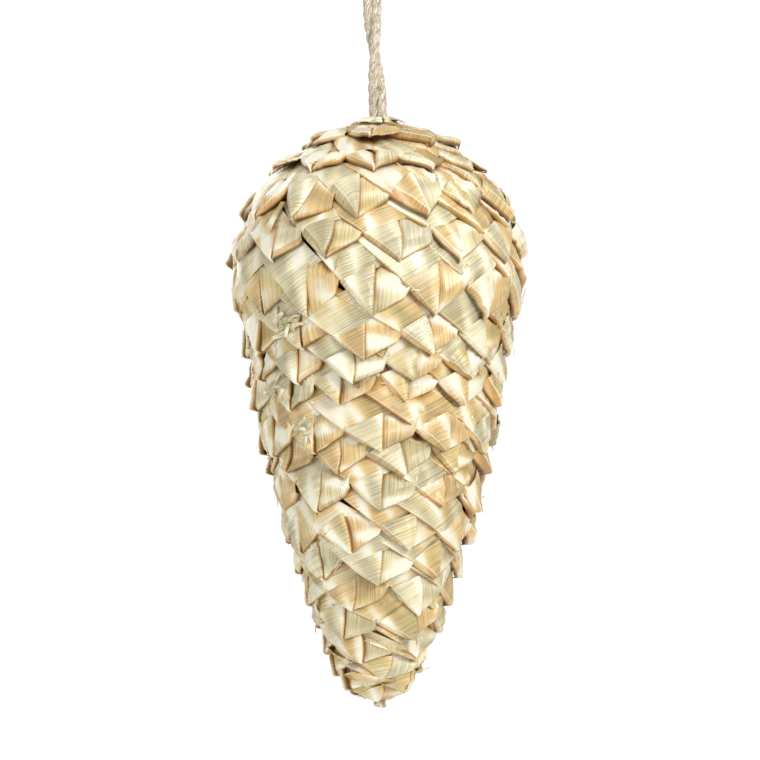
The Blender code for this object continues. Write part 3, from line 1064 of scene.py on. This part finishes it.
class ORNAMENT_OT_stage(bpy.types.Operator):
    """Puts up the camera, the soft lights, the white surround and the pale floor"""

    bl_idname = "ornament.stage"
    bl_label = "Set the stage"

    def execute(self, context):
        studio, scene = context.scene.studio, context.scene
        camera = bpy.data.objects.new("camera", bpy.data.cameras.new("camera"))
        camera.location = LOOKED_AT + Vector((0.0, -studio.camera_distance, 0.0))
        camera.rotation_euler = (pi / 2, 0.0, 0.0)
        camera.data.sensor_width = SENSOR_WIDTH
        camera.data.lens = SENSOR_WIDTH * studio.camera_distance / studio.frame_width
        camera.data.clip_start, camera.data.clip_end = 0.01, 20.0
        scene.collection.objects.link(camera)
        scene.camera = camera

        for name, power, size, place in (
                ("key", studio.key_power, 0.32, (0.47, -0.66, 0.36)),
                ("fill", studio.fill_power, 0.6, (-0.8, -0.5, 0.2)),
                ("top", studio.fill_power * 0.8, 0.5, (0.1, -0.45, 0.8)),
                ("back", studio.key_power * 0.8, 0.8, (-0.5, 0.8, 0.35))):
            light = bpy.data.lights.new(name, "AREA")
            light.energy, light.size = power, size
            lamp = bpy.data.objects.new(name, light)
            lamp.location = LOOKED_AT + Vector(place)
            lamp.rotation_euler = (-Vector(place)).to_track_quat("-Z", "Y").to_euler()
            scene.collection.objects.link(lamp)

        world = bpy.data.worlds.new("white studio")
        scene.world = world
        world.use_nodes = True
        tree = world.node_tree
        tree.nodes.clear()
        seen = add_node(tree, "LightPath").outputs["Is Camera Ray"]
        strength = add_node(tree, "MapRange", {
            "Value": seen, "To Min": SURROUND_LIGHT, "To Max": SURROUND_SEEN}).outputs[0]
        surround = add_node(tree, "Background", {"Color": (1, 1, 1, 1), "Strength": strength})
        add_node(tree, "OutputWorld", {"Surface": surround.outputs[0]})

        mesh = bmesh.new()
        bmesh.ops.create_circle(mesh, cap_ends=True, segments=96, radius=FLOOR_RADIUS)
        height = CROWN - CONE_HEIGHT - FLOOR_DROP
        bmesh.ops.translate(mesh, verts=mesh.verts, vec=(0.0, 0.0, height))
        finish, tree = new_material("matt studio floor")
        place = add_node(tree, "TexCoord").outputs["Object"]
        grain = add_node(tree, "TexNoise", {
            "Vector": place, "Scale": 40.0, "Detail": 3.0}).outputs["Fac"]
        tone = add_node(tree, "ValToRGB", {"Fac": grain}, stops=(
            (0.0, studio.floor), (1.0, linear("FBFAF8")))).outputs["Color"]
        matt = add_node(tree, "BsdfPrincipled", {
            "Base Color": tone, "Roughness": 0.85, "Emission Color": (1, 1, 1, 1),
            "Emission Strength": FLOOR_GLOW})
        add_node(tree, "OutputMaterial", {"Surface": matt.outputs[0]})
        floor = add_object(mesh, "studio_floor", finish)
        scene.view_settings.view_transform = "Standard"
        scene.view_settings.look = "None"
        return {"FINISHED"}


class ORNAMENT_OT_twine(bpy.types.Operator):
    """Spins the jute twine, folds it into the hanging loop and twists its two legs"""

    bl_idname = "ornament.twine"
    bl_label = "Hang the twine"

    def execute(self, context):
        settings = context.scene.twine
        twine, route, length = spin_twine(settings, jute_material(settings))
        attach(twine, "root")
        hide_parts("hanging_cord")
        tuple(route[0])
        return {"FINISHED"}


class ORNAMENT_OT_courses(bpy.types.Operator):
    """Lays every course of saw-tooth plait, strip by strip, from the crown to the tip"""

    bl_idname = "ornament.courses"
    bl_label = "Lay the plait"

    def execute(self, context):
        settings = context.scene.plait
        straw = straw_material(settings)
        courses = lay_courses()
        uneven = settings.unevenness / MM
        for course, below in zip(courses, courses[1:] + [None]):
            rng = random.Random(settings.seed * 100 + course.index)
            plait = Plait()
            for number in range(course.teeth):
                tooth = Tooth(course, number, rng, uneven)
                band(plait, tooth, choose_tint(rng, (3, 4, 4, 4, 2)), rng)
                facet(plait, tooth, choose_tint(rng, (2, 4, 4, 4, 3)), rng)
                fold_triangle(plait, tooth, choose_tint(rng, (1, 3, 4, 4, 4)), rng)
                for _ in range(TORN_RIBBONS if tooth.torn else 0):
                    torn_ribbon(plait, tooth, rng)
                for _ in range(rng.choice((0, 0, 0, 1, 1, 2))):
                    loose_fibre(plait, tooth, rng)
                if 1 < course.index < 17 and rng.random() < SPARE_END_CHANCE:
                    spare_end(plait, tooth, choose_tint(rng, (2, 2, 4, 4, 1)), rng)
            backing(plait, course, below, rng)
            for number in range(0 if course.above else COLLAR_ENDS):
                collar_end(plait, number, rng)
            for _ in range(0 if below else TUFT_ENDS):
                tuft_end(plait, course, rng)
            name = f"plait_course_{course.index + 1:02d}"
            made = plait.finish(f"straw_{name}", straw, settings.strip_thickness)
            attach(made, "root")
            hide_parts(name)
        return {"FINISHED"}


class ORNAMENT_PT_panel(bpy.types.Panel):
    """The ornament's sizes, colours and steps"""

    bl_label = "Straw Pine Cone"
    bl_space_type = "VIEW_3D"
    bl_region_type = "UI"
    bl_category = "Ornament"

    def draw(self, context):
        for group, step in ((context.scene.studio, "ornament.stage"),
                            (context.scene.twine, "ornament.twine"),
                            (context.scene.plait, "ornament.courses")):
            box = self.layout.box()
            for name in group.__annotations__:
                box.prop(group, name)
            box.operator(step)


CLASSES = (PlaitSettings, TwineSettings, StageSettings, ORNAMENT_OT_stage, ORNAMENT_OT_twine,
           ORNAMENT_OT_courses, ORNAMENT_PT_panel)


def register():
    for item in CLASSES:
        bpy.utils.register_class(item)
    bpy.types.Scene.plait = PointerProperty(type=PlaitSettings)
    bpy.types.Scene.twine = PointerProperty(type=TwineSettings)
    bpy.types.Scene.studio = PointerProperty(type=StageSettings)


def unregister():
    del bpy.types.Scene.plait, bpy.types.Scene.twine, bpy.types.Scene.studio
    for item in reversed(CLASSES):
        bpy.utils.unregister_class(item)


def main():
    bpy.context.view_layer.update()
    register()
    bpy.ops.ornament.stage()
    bpy.ops.ornament.twine()
    bpy.ops.ornament.courses()


if __name__ == "__main__":
    main()
